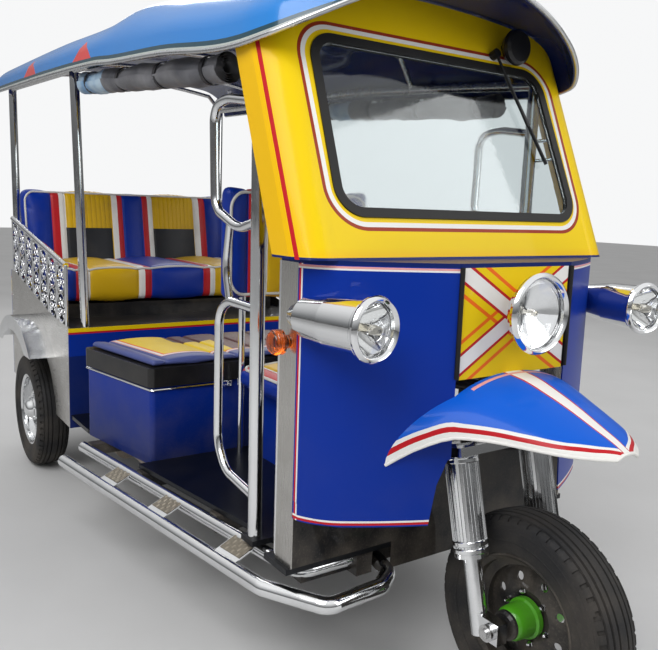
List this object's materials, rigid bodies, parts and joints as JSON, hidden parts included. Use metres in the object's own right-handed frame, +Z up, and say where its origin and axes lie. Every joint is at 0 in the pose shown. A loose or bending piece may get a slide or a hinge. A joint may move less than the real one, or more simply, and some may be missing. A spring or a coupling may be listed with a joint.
{
  "type": "auto rickshaw",
  "caption": "Open-sided motor rickshaw with one steered front wheel, driver's cab behind a raked windscreen, padded engine lid, passenger bench, chrome rails and a long arched roof",
  "frame": {"origin": "centre of the footprint, on the ground under the wheels", "axes": "+X forward, +Y to the vehicle's left, +Z up"},
  "size_m": [3.2498, 1.4234, 1.8947],
  "materials": {
    "chrome_fork": "polished chrome",
    "axle_steel": "plated steel",
    "chrome_bar": "polished chrome",
    "grip_rubber": "black rubber",
    "chassis_black": "satin black paint",
    "floor_black": "black ribbed mat on steel",
    "engine_grey": "oily cast metal",
    "exhaust_steel": "heated steel",
    "rear_axle_black": "black paint",
    "spring_steel": "black paint",
    "cowl_blue": "gloss royal blue paint",
    "panel_yellow": "gloss yellow paint with bands",
    "bulkhead_black": "black paint",
    "stainless_jamb": "bright stainless",
    "surround_yellow": "gloss yellow paint",
    "gasket_rubber": "black rubber",
    "screen_glass": "clear glass",
    "wiper_black": "black",
    "mudguard_blue": "gloss blue paint with stripes",
    "headlamp_chrome": "polished chrome",
    "side_lamp_chrome": "polished chrome",
    "lamp_glass": "clear glass",
    "indicator_orange": "orange plastic",
    "visor_lamp_black": "dark plastic",
    "roof_blue": "gloss blue, dark blue inside",
    "visor_blue": "gloss blue, dark blue inside",
    "roof_frame_steel": "grey paint",
    "post_chrome": "polished chrome",
    "hoop_chrome": "polished chrome",
    "board_chrome": "polished chrome",
    "pedestal_blue": "blue paint",
    "driver_vinyl": "blue vinyl",
    "backrest_chrome": "polished chrome",
    "driver_back_vinyl": "striped vinyl",
    "box_blue": "gloss blue",
    "lid_black": "black with bright strip",
    "lid_vinyl": "striped vinyl",
    "hinge_steel": "steel",
    "riser_blue": "blue with bands and kick plate",
    "deck_black": "dark paint",
    "stainless_side": "bright stainless",
    "guard_chrome": "chromed steel",
    "rear_blue": "blue paint with bands",
    "tail_red": "red plastic",
    "bumper_chrome": "polished chrome",
    "plate_blank": "blank white plate",
    "bench_vinyl": "striped vinyl",
    "bench_back_vinyl": "striped vinyl",
    "rear_post_chrome": "polished chrome",
    "scroll_chrome": "polished chrome",
    "curtain_fabric": "rolled grey sheet",
    "tyre_front": "black tyre",
    "rim_front": "black rim, green hub",
    "tyre_rear_left": "black tyre",
    "rim_rear_left": "chromed rim",
    "tyre_rear_right": "black tyre",
    "rim_rear_right": "chromed rim"
  },
  "bodies": {
    "body": {"chassis": "chassis_black", "floor": "floor_black", "engine": "engine_grey", "exhaust": "exhaust_steel", "rear_axle": "rear_axle_black", "leaf_springs": "spring_steel", "cowl": "cowl_blue", "centre_panel": "panel_yellow", "front_bulkhead": "bulkhead_black", "jambs": "stainless_jamb", "windscreen_surround": "surround_yellow", "windscreen_gasket": "gasket_rubber", "windscreen_glass": "screen_glass", "wiper": "wiper_black", "front_mudguard": "mudguard_blue", "headlamp": "headlamp_chrome", "side_lamps": "side_lamp_chrome", "lamp_lenses": "lamp_glass", "indicators": "indicator_orange", "visor_lamp": "visor_lamp_black", "roof": "roof_blue", "roof_visor": "visor_blue", "roof_frame": "roof_frame_steel", "front_posts": "post_chrome", "hoops": "hoop_chrome", "running_boards": "board_chrome", "driver_pedestal": "pedestal_blue", "driver_cushion": "driver_vinyl", "backrest_frame": "backrest_chrome", "driver_backrest": "driver_back_vinyl", "engine_box": "box_blue", "lid_hinge": "hinge_steel", "bench_riser": "riser_blue", "rear_deck": "deck_black", "side_panels": "stainless_side", "rear_mudguards": "guard_chrome", "rear_panel": "rear_blue", "tail_lamps": "tail_red", "rear_bumper": "bumper_chrome", "number_plate": "plate_blank", "bench_cushion": "bench_vinyl", "bench_backrest": "bench_back_vinyl", "rear_posts": "rear_post_chrome", "armrests": "scroll_chrome", "side_curtains": "curtain_fabric"},
    "steering": {"fork": "chrome_fork", "front_axle": "axle_steel", "handlebar": "chrome_bar", "grips": "grip_rubber"},
    "front_wheel": {"front_tyre": "tyre_front", "front_rim": "rim_front"},
    "rear_wheel_left": {"rear_tyre_left": "tyre_rear_left", "rear_rim_left": "rim_rear_left"},
    "rear_wheel_right": {"rear_tyre_right": "tyre_rear_right", "rear_rim_right": "rim_rear_right"},
    "lid": {"lid_tray": "lid_black", "lid_pad": "lid_vinyl"}
  },
  "joints": [
    {"name": "steering_turn", "type": "hinge", "parent": "body", "child": "steering", "pos_m": [1.317, 0, 0.26], "axis": [-0.2419, 0, 0.9703], "range_deg": [-35, 35]},
    {"name": "front_wheel_spin", "type": "hinge", "parent": "steering", "child": "front_wheel", "pos_m": [1.365, 0, 0.26], "axis": [0, 1, 0], "continuous": true},
    {"name": "rear_left_spin", "type": "hinge", "parent": "body", "child": "rear_wheel_left", "pos_m": [-1.085, 0.565, 0.26], "axis": [0, 1, 0], "continuous": true},
    {"name": "rear_right_spin", "type": "hinge", "parent": "body", "child": "rear_wheel_right", "pos_m": [-1.085, -0.565, 0.26], "axis": [0, 1, 0], "continuous": true},
    {"name": "lid_open", "type": "hinge", "parent": "body", "child": "lid", "pos_m": [-0.327, 0, 0.6413], "axis": [0, -1, 0], "range_deg": [0, 70]}
  ]
}
